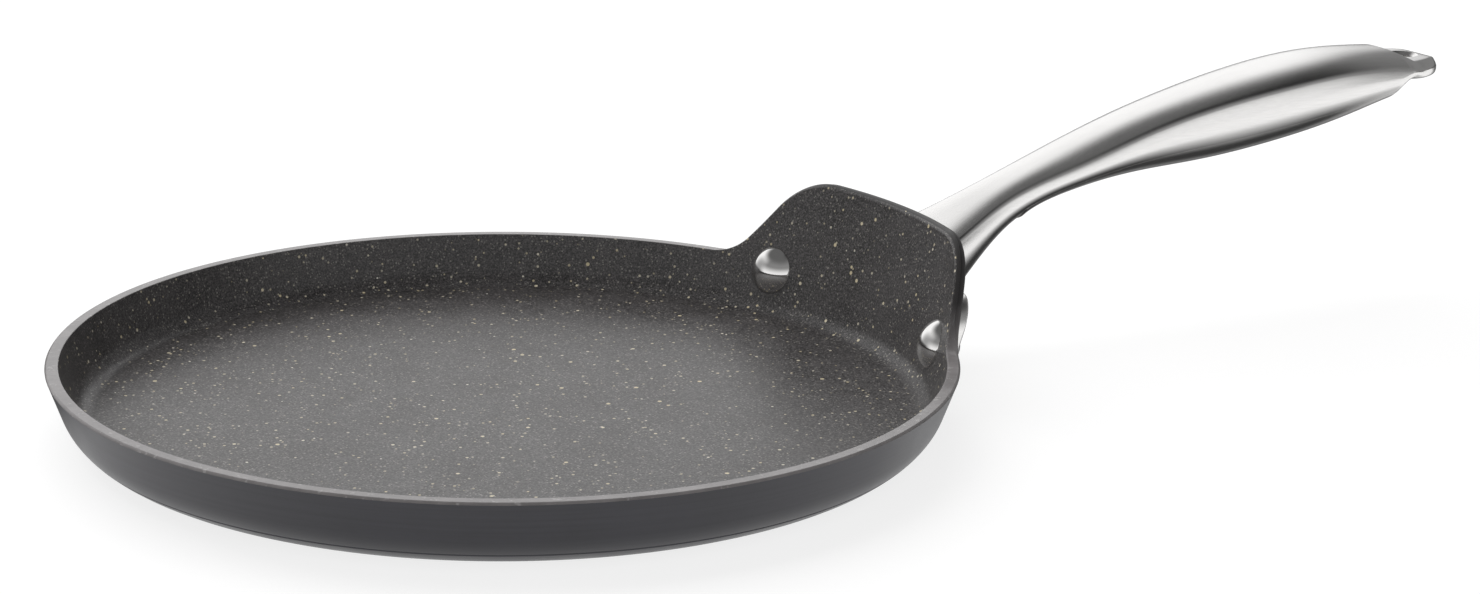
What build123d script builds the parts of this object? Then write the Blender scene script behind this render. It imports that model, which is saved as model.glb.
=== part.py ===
from build123d import *
import os
from math import asin, atan2, cos, radians, sin, sqrt, tan

# All lengths are millimetres and all angles are degrees.
# The origin is the middle of the underside, +X runs out along the handle, +Z is up.

# Bowl of the pan
rim_radius = 125.0
rim_height = 20.3
rim_thickness = 3.6
rim_chamfer = 0.6
outer_flare = 19.5
outer_bend_radius = 14.5
inner_flare = 16.0
floor_height = 5.0
inner_bend_radius = 6.0
foot_line_height = 4.4
foot_line_radius = 0.35

# Raised flange that carries the handle, part of the bowl's wall
flange_height = 25.7
flange_foot_half_width = 57.4
flange_side_run = 16.4
flange_root_radius = 12.0
flange_corner_radius = 21.0
flange_edge_bevel = 0.4
edge_zone_share = 0.3

# Rivets
rivet_half_spacing = 43.25
rivet_drop = 2.7
rivet_head_diameter = 14.4
rivet_head_height = 4.2
rivet_head_band = 0.5
rivet_shank_diameter = 6.0
rivet_tail_diameter = 10.4
rivet_tail_height = 2.2
rivet_hole_clearance = 0.1
rivet_seat_clearance = 0.25
rivet_tail_clearance = 0.2

# Root plate of the handle, curved to the outside of the wall
plate_thickness = 3.0
plate_end_margin = 9.0
plate_bottom = 8.5
plate_top = 31.0
plate_corner_radius = 9.0
plate_corner_limit_share = 0.45

# Grip of the handle, from the wall to the end of its crowned top
grip_reach = 194.0
grip_half_width = 16.2
grip_rise = 54.6
grip_depth = 20.5
grip_bulge_share = 0.07
station_shares = (0, 0.055, 0.12, 0.205, 0.335, 0.465, 0.6, 0.73, 0.865, 1)
width_shares = (1.47, 1.07, 0.81, 0.61, 0.68, 0.76, 0.86, 0.98, 1, 0.9)
crown_shares = (0.08, 0.1, 0.12, 0.15, 0.19, 0.22, 0.232, 0.243, 0.27, 0.32)
rise_shares = (0.178, 0.256, 0.355, 0.487, 0.639, 0.777, 0.886, 0.96, 1, 0.982)
depth_shares = (1.195, 1.234, 0.985, 0.605, 0.498, 0.707, 0.937, 1, 0.88, 0.49)
trough_side_share = 0.36
trough_low_share = 0.86
trough_low_width_share = 0.66

# Hollow inside the grip and the welded underside that closes it
shell_thickness = 2.0
hollow_start_share = 0.205
hollow_end_wall = 6.0
seam_share = 0.66
belly_start_share = 0.24
belly_end_share = 0.985

# Tip of the handle with the hanging hole
tip_radius = 11.0
tip_centre_offset = 9.1
tip_thickness = 6.0
tip_rise = 1.1
tip_nose_share = 0.22
tip_flat_share = 0.6
tip_under_share = 0.6
tip_edge_bevel = 1.0
crown_ramp_length = 4.0
hanging_hole_diameter = 8.0
hanging_hole_chamfer = 1.2

# Reach of a cutting shape past the faces that it cuts
overrun = 2.0

# Values worked out from the sizes above
wall_top = rim_height - rim_chamfer
inner_rim_radius = rim_radius - rim_thickness
flange_top = rim_height + flange_height
flange_top_half_width = flange_foot_half_width - flange_side_run
plate_half_width = rivet_half_spacing + plate_end_margin
plate_corner = min(plate_corner_radius, (plate_top - plate_bottom) * plate_corner_limit_share)
foot_line_offset = outer_bend_radius - foot_line_height
grip_start = rim_radius - rim_thickness / 2
grip_end = grip_start + grip_reach
hole_x = grip_end + tip_centre_offset

os.makedirs("parts", exist_ok=True)


def outer_wall_radius(height):
    """Radius of the wall's outside below the rim, before its bend into the base."""
    return rim_radius - (wall_top - height) * tan(radians(outer_flare))


def inner_wall_radius(height):
    """Radius of the inside, which runs on unbroken up the flange."""
    return inner_rim_radius + (height - rim_height) * tan(radians(inner_flare))


def flange_outer_radius(height):
    """Radius of the flange's outside, parallel to its inside."""
    return rim_radius + (height - wall_top) * tan(radians(inner_flare))


def plate_outer_radius(height):
    """Radius of the root plate's outside, a cone from its lower edge to its upper edge."""
    low = outer_wall_radius(plate_bottom) + plate_thickness
    high = flange_outer_radius(plate_top) + plate_thickness
    return low + (high - low) * (height - plate_bottom) / (plate_top - plate_bottom)


def corner(sketch, x, y):
    """The vertex of a sketch that lies nearest to a point given in the sketch's own plane."""
    return sketch.vertices().sort_by_distance(Vector(x, y))[0]


def station(share_list, share):
    """Value of a table of shares at any place along the grip, by straight lines between stations."""
    for low, high, a, b in zip(station_shares, station_shares[1:], share_list, share_list[1:]):
        if share <= high:
            return a + (b - a) * (share - low) / (high - low)
    return share_list[-1]


def grip_x(share):
    """Distance from the pan's axis at a place along the grip."""
    return grip_start + grip_reach * share


def crease_height(share):
    """Height of the crease between the crowned top and the trough."""
    return rim_height + grip_rise * station(rise_shares, share)


def crest_height(share):
    """Height of the crowned top at the middle."""
    return crease_height(share) + grip_half_width * station(width_shares, share) * station(crown_shares, share)


def grip_section(share, inset):
    """Face across the grip: a crowned top, two creases and a rounded trough below."""
    across = grip_half_width * station(width_shares, share) - inset
    crease = crease_height(share) - inset
    depth = grip_depth * station(depth_shares, share) - 2 * inset
    belly = across * (1 + grip_bulge_share)
    plane = Plane(origin=(grip_x(share), 0, 0), x_dir=(0, 1, 0), z_dir=(1, 0, 0))
    with BuildSketch(plane) as section:
        with BuildLine():
            crown = crease + across * station(crown_shares, share)
            ThreePointArc((-across, crease), (0, crown), (across, crease))
            side_point = (belly, crease - trough_side_share * depth)
            low_point = (trough_low_width_share * across, crease - trough_low_share * depth)
            right = [side_point, low_point]
            left = [(-x, y) for x, y in reversed(right)]
            trough = [(across, crease)] + right + [(0, crease - depth)] + left + [(-across, crease)]
            Spline(trough)
        make_face()
    return section.sketch


# Profile of the bowl: underside, flared wall, flat rim, inner wall and floor
outer_corner = outer_wall_radius(0)
inner_corner = inner_wall_radius(floor_height)
with BuildSketch(Plane.XZ) as bowl_profile:
    with BuildLine():
        Polyline(
            (0, 0),
            (outer_corner, 0),
            (rim_radius, wall_top),
            (rim_radius - rim_chamfer, rim_height),
            (inner_rim_radius, rim_height),
            (inner_corner, floor_height),
            (0, floor_height),
            close=True,
        )
    make_face()
    fillet(corner(bowl_profile, outer_corner, 0), outer_bend_radius)
    fillet(corner(bowl_profile, inner_corner, floor_height), inner_bend_radius)

# Profile of the flange: it grows out of the rim at the same lean as the inner wall
with BuildSketch(Plane.XZ) as flange_profile:
    with BuildLine():
        Polyline(
            (inner_rim_radius, rim_height),
            (inner_wall_radius(flange_top + overrun), flange_top + overrun),
            (flange_outer_radius(flange_top + overrun), flange_top + overrun),
            (rim_radius, wall_top),
            ((rim_radius + inner_rim_radius) / 2, rim_height - rim_thickness),
            close=True,
        )
    make_face()

# Outline of the flange as seen along the handle, with its swept feet on the rim
outline_half_width = flange_foot_half_width + flange_root_radius / 2 + overrun
with BuildSketch(Plane.YZ) as flange_outline:
    with BuildLine():
        Polyline(
            (-outline_half_width, rim_height - rim_thickness),
            (-outline_half_width, rim_height),
            (-flange_foot_half_width, rim_height),
            (-flange_top_half_width, flange_top),
            (flange_top_half_width, flange_top),
            (flange_foot_half_width, rim_height),
            (outline_half_width, rim_height),
            (outline_half_width, rim_height - rim_thickness),
            close=True,
        )
    make_face()
    for side in (-1, 1):
        fillet(corner(flange_outline, side * flange_foot_half_width, rim_height), flange_root_radius)
        fillet(corner(flange_outline, side * flange_top_half_width, flange_top), flange_corner_radius)

with BuildPart() as flange:
    add(flange_profile.sketch)
    revolve(axis=Axis.Z)
    with BuildSketch(Plane.YZ):
        add(flange_outline.sketch_local)
    extrude(amount=rim_radius * 2, mode=Mode.INTERSECT)

# Everything inside the outside of the wall and flange, which the handle must not enter
with BuildSketch(Plane.XZ) as envelope_profile:
    with BuildLine():
        Polyline(
            (0, 0),
            (outer_corner, 0),
            (rim_radius, wall_top),
            (flange_outer_radius(flange_top + overrun), flange_top + overrun),
            (0, flange_top + overrun),
            close=True,
        )
    make_face()
    fillet(corner(envelope_profile, outer_corner, 0), outer_bend_radius)
with BuildPart() as envelope:
    add(envelope_profile.sketch)
    revolve(axis=Axis.Z)


def rivet_plane(side, radius, height):
    """Plane on the wall at a rivet, facing inwards along the rivet's axis."""
    turn = side * asin(rivet_half_spacing / radius)
    lean = radians(inner_flare)
    inwards = Vector(-cos(lean) * cos(turn), -cos(lean) * sin(turn), sin(lean))
    sideways = Vector(-sin(turn), cos(turn), 0)
    return Plane(origin=(radius * cos(turn), radius * sin(turn), height), x_dir=sideways, z_dir=inwards)


rivet_height = rim_height - rivet_drop
rivet_grip = (plate_outer_radius(rivet_height) - inner_wall_radius(rivet_height)) * cos(radians(inner_flare))
rivet_planes = {}
for side in (-1, 1):
    on_wall = rivet_plane(side, inner_wall_radius(rivet_height), rivet_height)
    rivet_planes[side] = on_wall.offset(-rivet_seat_clearance)

# Pan body: bowl and flange in one, with the two rivet holes and flat seats for the heads
with BuildPart() as pan_body:
    add(bowl_profile.sketch)
    revolve(axis=Axis.Z)
    add(flange)
    flange_edge_zone = rim_height + flange_height * edge_zone_share
    flange_edges = pan_body.edges().filter_by(
        lambda edge: edge.center().Z > flange_edge_zone and edge.length > rim_thickness
    )
    chamfer(flange_edges, flange_edge_bevel)
    with BuildSketch(Plane.XZ):
        foot_reach = sqrt(outer_bend_radius**2 - foot_line_offset**2)
        centre = outer_corner - outer_bend_radius * tan(radians(90 - outer_flare) / 2)
        with Locations((centre + foot_reach, foot_line_height)):
            Circle(foot_line_radius)
    revolve(axis=Axis.Z, mode=Mode.SUBTRACT)
    for plane in rivet_planes.values():
        with BuildSketch(plane):
            Circle(rivet_shank_diameter / 2 + rivet_hole_clearance)
        extrude(amount=rim_thickness * 2, both=True, mode=Mode.SUBTRACT)
        with BuildSketch(plane):
            Circle(rivet_head_diameter / 2 + rivet_seat_clearance)
        extrude(amount=rim_thickness, mode=Mode.SUBTRACT)
pan_body.part.label = "pan_body"
export_step(pan_body.part, "parts/pan_body.step")


def cap_middle(base_radius, cap_height):
    """Point halfway along the arc of a round cap, measured from the middle of its base."""
    sphere = (base_radius**2 + cap_height**2) / (2 * cap_height)
    turn = atan2(base_radius, sphere - cap_height) / 2
    return sphere * sin(turn), sphere * cos(turn) - (sphere - cap_height)


def make_rivet(side):
    """Domed head inside, shank through wall and plate, low formed tail outside."""
    head_radius = rivet_head_diameter / 2
    shank_radius = rivet_shank_diameter / 2
    tail_radius = rivet_tail_diameter / 2
    shank_end = rivet_seat_clearance - rivet_grip - rivet_tail_clearance
    tail_tip = (0, shank_end - rivet_tail_height)
    tail_x, tail_rise = cap_middle(tail_radius, rivet_tail_height)
    dome_x, dome_rise = cap_middle(head_radius, rivet_head_height - rivet_head_band)
    with BuildSketch(Plane.XZ) as profile:
        with BuildLine():
            Line((0, rivet_head_height), tail_tip)
            ThreePointArc(tail_tip, (tail_x, shank_end - tail_rise), (tail_radius, shank_end))
            Polyline(
                (tail_radius, shank_end),
                (shank_radius, shank_end),
                (shank_radius, 0),
                (head_radius, 0),
                (head_radius, rivet_head_band),
            )
            dome_mid = (dome_x, rivet_head_band + dome_rise)
            ThreePointArc((head_radius, rivet_head_band), dome_mid, (0, rivet_head_height))
        make_face()
    with BuildPart() as rivet:
        add(profile.sketch)
        revolve(axis=Axis.Z)
    return rivet.part.moved(rivet_planes[side].location)


rivets = {}
for name, side in (("rivet_left", 1), ("rivet_right", -1)):
    rivets[name] = make_rivet(side)
    rivets[name].label = name
    export_step(rivets[name], f"parts/{name}.step")

# Root plate: a strip of cone that follows the outside of the wall
with BuildPart() as root_plate:
    with BuildSketch(Plane.XZ):
        with BuildLine():
            plate_inside = outer_wall_radius(plate_bottom) - plate_thickness
            Polyline(
                (plate_inside, plate_bottom),
                (plate_outer_radius(plate_bottom), plate_bottom),
                (plate_outer_radius(plate_top), plate_top),
                (plate_inside, plate_top),
                close=True,
            )
        make_face()
    revolve(axis=Axis.Z)
    with BuildSketch(Plane.YZ):
        with Locations((0, (plate_bottom + plate_top) / 2)):
            RectangleRounded(plate_half_width * 2, plate_top - plate_bottom, plate_corner)
    extrude(amount=rim_radius * 2, mode=Mode.INTERSECT)

# Outer form of the grip, lofted through its stations, with a ramp from its crown down to the tip
tip_top = crease_height(1) + tip_rise
ramp_rise = crest_height(1 - crown_ramp_length / grip_reach) - tip_top
with BuildPart() as grip_form:
    for share in station_shares:
        add(grip_section(share, 0))
    loft()
    with BuildSketch(Plane.XZ):
        with BuildLine():
            Polyline(
                (grip_end - crown_ramp_length * 2, tip_top + ramp_rise * 2),
                (grip_end + crown_ramp_length, tip_top - ramp_rise),
                (grip_end + crown_ramp_length, tip_top + ramp_rise * 2),
                close=True,
            )
        make_face()
    extrude(amount=grip_half_width * 2, both=True, mode=Mode.SUBTRACT)

# Space inside the hollow grip
hollow_end = 1 - hollow_end_wall / grip_reach
hollow_shares = [hollow_start_share] + [s for s in station_shares if hollow_start_share < s < hollow_end]
hollow_shares.append(hollow_end)
with BuildPart() as hollow:
    for share in hollow_shares:
        add(grip_section(share, shell_thickness))
    loft()

# Region below the seam, which belongs to the welded underside
seam_shares = [belly_start_share] + [s for s in station_shares if belly_start_share < s < belly_end_share]
seam_shares.append(belly_end_share)


def seam_height(share):
    """Height of the weld seam on the grip's sides."""
    return crease_height(share) - seam_share * grip_depth * station(depth_shares, share)


with BuildPart() as below_seam:
    with BuildSketch(Plane.XZ):
        with BuildLine():
            seam = [(grip_x(share), seam_height(share)) for share in seam_shares]
            Spline(seam)
            Polyline(seam[-1], (seam[-1][0], rim_height), (seam[0][0], rim_height), seam[0])
        make_face()
    extrude(amount=grip_half_width * 2, both=True)

# Tip of the handle: a rounded tongue below the crowned top, with the hanging hole
tip_under = tip_top - tip_thickness
tip_start = grip_end - tip_radius
with BuildPart() as tip:
    with BuildSketch(Plane.XZ):
        with BuildLine():
            nose = (hole_x + tip_radius, tip_under + tip_thickness * tip_nose_share)
            top_end = (hole_x + tip_radius * tip_flat_share, tip_top)
            under_end = (hole_x + tip_radius * tip_under_share, tip_under)
            Line((tip_start, tip_top), top_end)
            Spline([top_end, nose], tangents=[(1, 0), (0, -1)])
            Spline([nose, under_end], tangents=[(0, -1), (-1, 0)])
            Polyline(under_end, (tip_start, tip_under), (tip_start, tip_top))
        make_face()
    extrude(amount=tip_radius * 2, both=True)
    end_half_width = grip_half_width * width_shares[-1]
    with BuildSketch():
        with Locations((hole_x, 0)):
            Circle(tip_radius)
        with BuildLine():
            Polyline(
                (tip_start, end_half_width),
                (grip_end, end_half_width),
                (hole_x, tip_radius),
                (hole_x, -tip_radius),
                (grip_end, -end_half_width),
                (tip_start, -end_half_width),
                close=True,
            )
        make_face()
    extrude(amount=crease_height(1) * 2, mode=Mode.INTERSECT)
    tip_edges = tip.edges().filter_by(
        lambda edge: edge.center().X > grip_end - tip_edge_bevel and abs(edge.center().Y) > tip_edge_bevel
    )
    chamfer(tip_edges, tip_edge_bevel)

# Handle body: root plate, grip and tip in one, cut to the wall and hollowed from below
with BuildPart() as handle_body:
    add(grip_form)
    add(root_plate)
    add(tip)
    add(envelope, mode=Mode.SUBTRACT)
    add(below_seam, mode=Mode.SUBTRACT)
    add(hollow, mode=Mode.SUBTRACT)
    for plane in rivet_planes.values():
        with BuildSketch(plane):
            Circle(rivet_shank_diameter / 2 + rivet_hole_clearance)
        extrude(amount=-rim_thickness * 4, mode=Mode.SUBTRACT)
    with BuildSketch(Plane.XY.offset(tip_top)):
        with Locations((hole_x, 0)):
            Circle(hanging_hole_diameter / 2)
    extrude(amount=tip_thickness * 2, both=True, mode=Mode.SUBTRACT)
    hole_edges = handle_body.edges().filter_by(GeomType.CIRCLE).filter_by(
        lambda edge: abs(edge.radius - hanging_hole_diameter / 2) < hanging_hole_chamfer / 100
    )
    chamfer(hole_edges, hanging_hole_chamfer)
handle_body.part.label = "handle_body"
export_step(handle_body.part, "parts/handle_body.step")

# Underside of the grip: the welded trough that closes the hollow
with BuildPart() as handle_belly:
    add(grip_form)
    add(below_seam, mode=Mode.INTERSECT)
    add(hollow, mode=Mode.SUBTRACT)
handle_belly.part.label = "handle_belly"
export_step(handle_belly.part, "parts/handle_belly.step")
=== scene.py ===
import bpy
import numpy as np
from mathutils import Matrix, Vector


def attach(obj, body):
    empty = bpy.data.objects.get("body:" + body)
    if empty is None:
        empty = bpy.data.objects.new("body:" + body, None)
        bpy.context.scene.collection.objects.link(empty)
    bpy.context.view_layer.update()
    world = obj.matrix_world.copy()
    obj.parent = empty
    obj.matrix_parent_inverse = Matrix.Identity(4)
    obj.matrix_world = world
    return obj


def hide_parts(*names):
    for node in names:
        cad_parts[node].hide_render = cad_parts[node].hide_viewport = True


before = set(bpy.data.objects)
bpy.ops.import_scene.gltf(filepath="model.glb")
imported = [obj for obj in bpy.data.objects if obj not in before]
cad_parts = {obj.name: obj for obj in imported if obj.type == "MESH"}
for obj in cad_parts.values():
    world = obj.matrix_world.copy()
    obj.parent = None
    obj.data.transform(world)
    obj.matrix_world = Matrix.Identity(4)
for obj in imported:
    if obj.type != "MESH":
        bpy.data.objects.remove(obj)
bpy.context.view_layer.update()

bl_info = {
    "name": "Crepe Pan",
    "version": (1, 0, 0),
    "blender": (4, 5, 0),
    "location": "3D View > Sidebar > Crepe Pan",
    "description": "Builds a coated crepe pan with a riveted hollow steel handle",
    "category": "Object",
}

MM = 0.001


# ---- sizes, colours and light that a user may change

def length(name, about, value):
    """A length property in metres."""
    return bpy.props.FloatProperty(
        name=name, description=about, default=value, unit="LENGTH", precision=5
    )


def colour(name, about, value):
    """A colour property, linear, with no alpha."""
    return bpy.props.FloatVectorProperty(
        name=name, description=about, default=value, subtype="COLOR", size=3, min=0, max=1
    )


def angle(name, about, degrees):
    """An angle property, shown in degrees and kept in radians."""
    return bpy.props.FloatProperty(
        name=name, description=about, default=np.radians(degrees), min=0, max=np.radians(60), subtype="ANGLE"
    )


def strength(name, about, value):
    """A property for the strength of a light, 1 being white."""
    return bpy.props.FloatProperty(
        name=name, description=about, default=value, min=0, max=10, subtype="FACTOR"
    )


def vector(name, about, value, **kind):
    """A property of three numbers, whose unit or subtype is given by kind."""
    return bpy.props.FloatVectorProperty(name=name, description=about, default=value, size=3, **kind)


class PanBowlSizes(bpy.types.PropertyGroup):
    rim_radius: length("Rim radius", "Outside radius of the rim", 0.12498)
    rim_height: length("Rim height", "Height of the flat rim above the underside", 0.0203)
    rim_thickness: length("Rim thickness", "Thickness of the wall at the rim", 0.0036)
    floor_height: length("Floor height", "Height of the cooking surface", 0.005)
    flange_height: length("Flange height", "Height of the flange above the rim", 0.0257)
    flange_foot: length("Flange foot", "Half the width of the flange at the rim", 0.0574)
    flange_run: length("Flange side run", "Inward run of the flange's side", 0.0164)
    outer_flare: angle("Outer flare", "Lean of the outside of the wall", 19.5)
    inner_flare: angle("Inner flare", "Lean of the inside of the wall", 16.0)


class PanHandleSizes(bpy.types.PropertyGroup):
    start: length("Start", "Distance from the pan's axis to the root of the grip", 0.1232)
    reach: length("Reach", "Length of the grip along the handle", 0.194)
    half_width: length("Half width", "Half the widest width of the grip", 0.0162)
    rise: length("Rise", "Greatest height of the grip's creases above the rim", 0.0546)
    depth: length("Depth", "Depth of the trough under the creases, towards the tip", 0.0205)
    tip_radius: length("Tip radius", "Radius of the rounded tip", 0.0110)
    tip_thickness: length("Tip thickness", "Thickness of the tongue", 0.0060)
    hole_radius: length("Hole radius", "Radius of the hanging hole", 0.004)
    hole_bevel: length("Hole bevel", "Bevel around the hanging hole", 0.0012)
    lip: length("Underside lip", "How far the welded underside stands proud of the grip", 0.0002)


class PanRivetSizes(bpy.types.PropertyGroup):
    half_spacing: length("Half spacing", "Half the distance between the rivets", 0.04325)
    drop: length("Drop", "Distance of the rivets below the rim", 0.0027)
    head_radius: length("Head radius", "Radius of a rivet's head", 0.0072)
    head_height: length("Head height", "Height of a rivet's head", 0.0042)
    tail_radius: length("Tail radius", "Radius of the formed tail", 0.0052)
    tail_height: length("Tail height", "Height of the formed tail", 0.0022)


class PanFinish(bpy.types.PropertyGroup):
    coat_inside: colour("Inside coat", "Ground colour of the speckled coat", (0.037, 0.0348, 0.0348))
    coat_outside: colour("Outside coat", "Colour of the plain coat", (0.050, 0.049, 0.059))
    fleck: colour("Flecks", "Colour of the pale flecks", (0.72, 0.62, 0.40))
    steel: colour("Steel", "Colour of the satin steel", (0.87, 0.86, 0.85))
    rivet: colour("Rivets", "Colour of the polished steel", (0.84, 0.83, 0.82))


class PanStudio(bpy.types.PropertyGroup):
    camera_place: vector(
        "Camera place", "Where the camera stands", (-0.361008, -0.708518, 0.265605), unit="LENGTH"
    )
    camera_look: vector(
        "Camera direction", "Direction of the camera's axis", (0.503476, 0.818166, -0.277696),
        subtype="DIRECTION",
    )
    camera_up: vector(
        "Camera up", "Direction of the top of the picture", (0.1251, 0.2490, 0.9604), subtype="DIRECTION"
    )
    lens: bpy.props.FloatProperty(
        name="Lens", description="Focal length in millimetres on a 36 mm wide sensor",
        default=72.973, min=1, max=300, unit="CAMERA",
    )
    horizon: strength("Light behind", "Strength of the light from behind the pan", 1.13)
    front: strength("Light in front", "Strength of the light from the camera's side", 0.26)
    overhead: strength("Overhead light", "Strength of the light straight above", 0.13)


# ---- shapes, worked out in millimetres

def smooth_table(places, values, at):
    """Natural cubic spline through (places, values), read at every `at`.

    The second derivatives M solve the usual three-term equations with M = 0 at both ends,
    and each stretch is the cubic that has those second derivatives and passes through its ends.
    """
    x, y = np.asarray(places, float), np.asarray(values, float)
    gap = np.diff(x)
    n = len(x)
    a = np.eye(n)
    b = np.zeros(n)
    inner = np.arange(1, n - 1)
    a[inner, inner - 1] = gap[:-1]
    a[inner, inner] = 2 * (gap[:-1] + gap[1:])
    a[inner, inner + 1] = gap[1:]
    slope = np.diff(y) / gap
    b[1:-1] = 6 * np.diff(slope)
    m = np.linalg.solve(a, b)
    at = np.asarray(at, float)
    i = np.clip(np.searchsorted(x, at) - 1, 0, n - 2)
    h, left, right = gap[i], x[i + 1] - at, at - x[i]
    return (
        m[i] * left**3 / (6 * h)
        + m[i + 1] * right**3 / (6 * h)
        + (y[i] / h - m[i] * h / 6) * left
        + (y[i + 1] / h - m[i + 1] * h / 6) * right
    )


def ease(low, high, at):
    """Smooth step: 0 below low, 1 above high, 3t^2 - 2t^3 between."""
    t = np.clip((np.asarray(at, float) - low) / (high - low), 0, 1)
    return t * t * (3 - 2 * t)


def smaller(a, b, soft):
    """Smooth minimum of a and b: (a + b - sqrt((a - b)^2 + soft^2)) / 2."""
    return (a + b - np.sqrt((a - b) ** 2 + soft**2)) / 2


def mesh_piece(name, points, faces, materials, face_slots=None, sharp=35):
    """Puts points, in millimetres, and faces into a mesh object at the origin, shaded smooth."""
    mesh = bpy.data.meshes.new(name)
    mesh.from_pydata((np.asarray(points) * MM).tolist(), [], [list(f) for f in faces])
    mesh.validate()
    for material in materials:
        mesh.materials.append(material)
    if face_slots is not None:
        mesh.polygons.foreach_set("material_index", np.asarray(face_slots, np.int32))
    mesh.polygons.foreach_set("use_smooth", np.ones(len(mesh.polygons), bool))
    mesh.set_sharp_from_angle(angle=np.radians(sharp))
    mesh.update()
    piece = bpy.data.objects.new(name, mesh)
    bpy.context.scene.collection.objects.link(piece)
    return piece


def skin(rings):
    """Closed skin through rings, an array (rings, points, 3): quads between rings, a fan over each end ring.

    The faces are turned outwards by the sign of the volume, the sum of a . (b x c) / 6 over the triangles.
    """
    m, n, _ = rings.shape
    points = np.concatenate([rings.reshape(-1, 3), [rings[0].mean(0)], [rings[-1].mean(0)]])
    i, j = np.meshgrid(np.arange(m - 1), np.arange(n), indexing="ij")
    k = (j + 1) % n
    quads = np.stack([i * n + j, i * n + k, (i + 1) * n + k, (i + 1) * n + j], -1).reshape(-1, 4)
    j = np.arange(n)
    k = (j + 1) % n
    first = np.stack([k, j, np.full(n, m * n)], -1)
    last = np.stack([(m - 1) * n + j, (m - 1) * n + k, np.full(n, m * n + 1)], -1)
    a, b, c, d = (points[quads[:, q]] for q in range(4))
    volume = (a * np.cross(b, c)).sum() + (a * np.cross(c, d)).sum()
    for fan in (first, last):
        p, q, r = (points[fan[:, s]] for s in range(3))
        volume += (p * np.cross(q, r)).sum()
    if volume < 0:
        quads, first, last = quads[:, ::-1], first[:, ::-1], last[:, ::-1]
    return points, quads, first, last


def skin_piece(name, rings, materials, ring_slots=None, sharp=35):
    """A closed skin as an object; ring_slots gives a material slot for each band between two rings."""
    points, quads, first, last = skin(rings)
    faces = quads.tolist() + first.tolist() + last.tolist()
    slots = None
    if ring_slots is not None:
        n = rings.shape[1]
        bands = np.repeat(np.asarray(ring_slots), n)
        slots = np.concatenate([bands, np.full(n, ring_slots[0]), np.full(n, ring_slots[-1])])
    return mesh_piece(name, points, faces, materials, slots, sharp)


class Bowl:
    """The bowl's surfaces: radius of each wall at a height, and the flange's outline."""

    def __init__(self, sizes):
        self.radius = sizes.rim_radius / MM
        self.height = sizes.rim_height / MM
        self.thickness = sizes.rim_thickness / MM
        self.floor = sizes.floor_height / MM
        self.rise = sizes.flange_height / MM
        self.foot = sizes.flange_foot / MM
        self.run = sizes.flange_run / MM
        self.out_angle, self.inn_angle = sizes.outer_flare, sizes.inner_flare
        self.out, self.inn = np.tan(self.out_angle), np.tan(self.inn_angle)
        # Bends into the base, height and depth of the turned line, and radii of the flange's foot and corner.
        self.outer_bend, self.inner_bend = 14.5, 6.0
        self.foot_line, self.line_depth = 4.4, 0.28
        self.root, self.corner = 12.0, 21.0
        # Bevel and lip of the edge on the rim, how much each grows up the flange, and over what climb.
        self.bevel, self.bevel_gain = 0.6, 0.9
        self.lip, self.lip_gain = 0.3, 1.1
        self.climb = 8.0

    def inside(self, z):
        """The inside is one cone: its radius grows by tan(inner flare) with height."""
        return self.radius - self.thickness + (z - self.height) * self.inn

    def outside(self, z):
        """The outside is a cone below the rim and a second one, parallel to the inside, above it."""
        low = self.radius - (self.height - self.bevel - z) * self.out
        high = self.radius + (z - self.height + self.bevel) * self.inn
        return np.where(z < self.height - self.bevel, low, high)

    def outline(self, y):
        """Height of the top edge at a distance y from the middle plane.

        From the side inwards: the rim, a concave circle, a straight slant, a convex circle and the flat top.
        """
        a = np.abs(y)
        slope = np.arctan2(self.rise, self.run)
        foot_reach = self.root * np.tan(slope / 2)
        top_half = self.foot - self.run
        corner_reach = self.corner * np.tan(slope / 2)
        foot_middle = self.foot + foot_reach
        corner_middle = top_half - corner_reach
        top = self.height + self.rise
        foot = self.height + self.root - np.sqrt(np.maximum(self.root**2 - (a - foot_middle) ** 2, 0))
        slant = self.height + (self.foot - a) * np.tan(slope)
        corner = top - self.corner + np.sqrt(np.maximum(self.corner**2 - (a - corner_middle) ** 2, 0))
        return np.select(
            [
                a > foot_middle,
                a > foot_middle - self.root * np.sin(slope),
                a > corner_middle + self.corner * np.sin(slope),
                a > corner_middle,
            ],
            [np.full_like(a, self.height), foot, slant, corner],
            top,
        )

    def top(self, turn, wall):
        """Height of the top edge on a wall at each turn, by repeating z = outline(radius(z) sin(turn))."""
        z = np.full_like(turn, self.height)
        front = np.cos(turn) > 0
        for _ in range(60):
            z = 0.5 * z + 0.5 * self.outline(wall(z) * np.sin(turn))
        return np.where(front, z, self.height)


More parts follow.
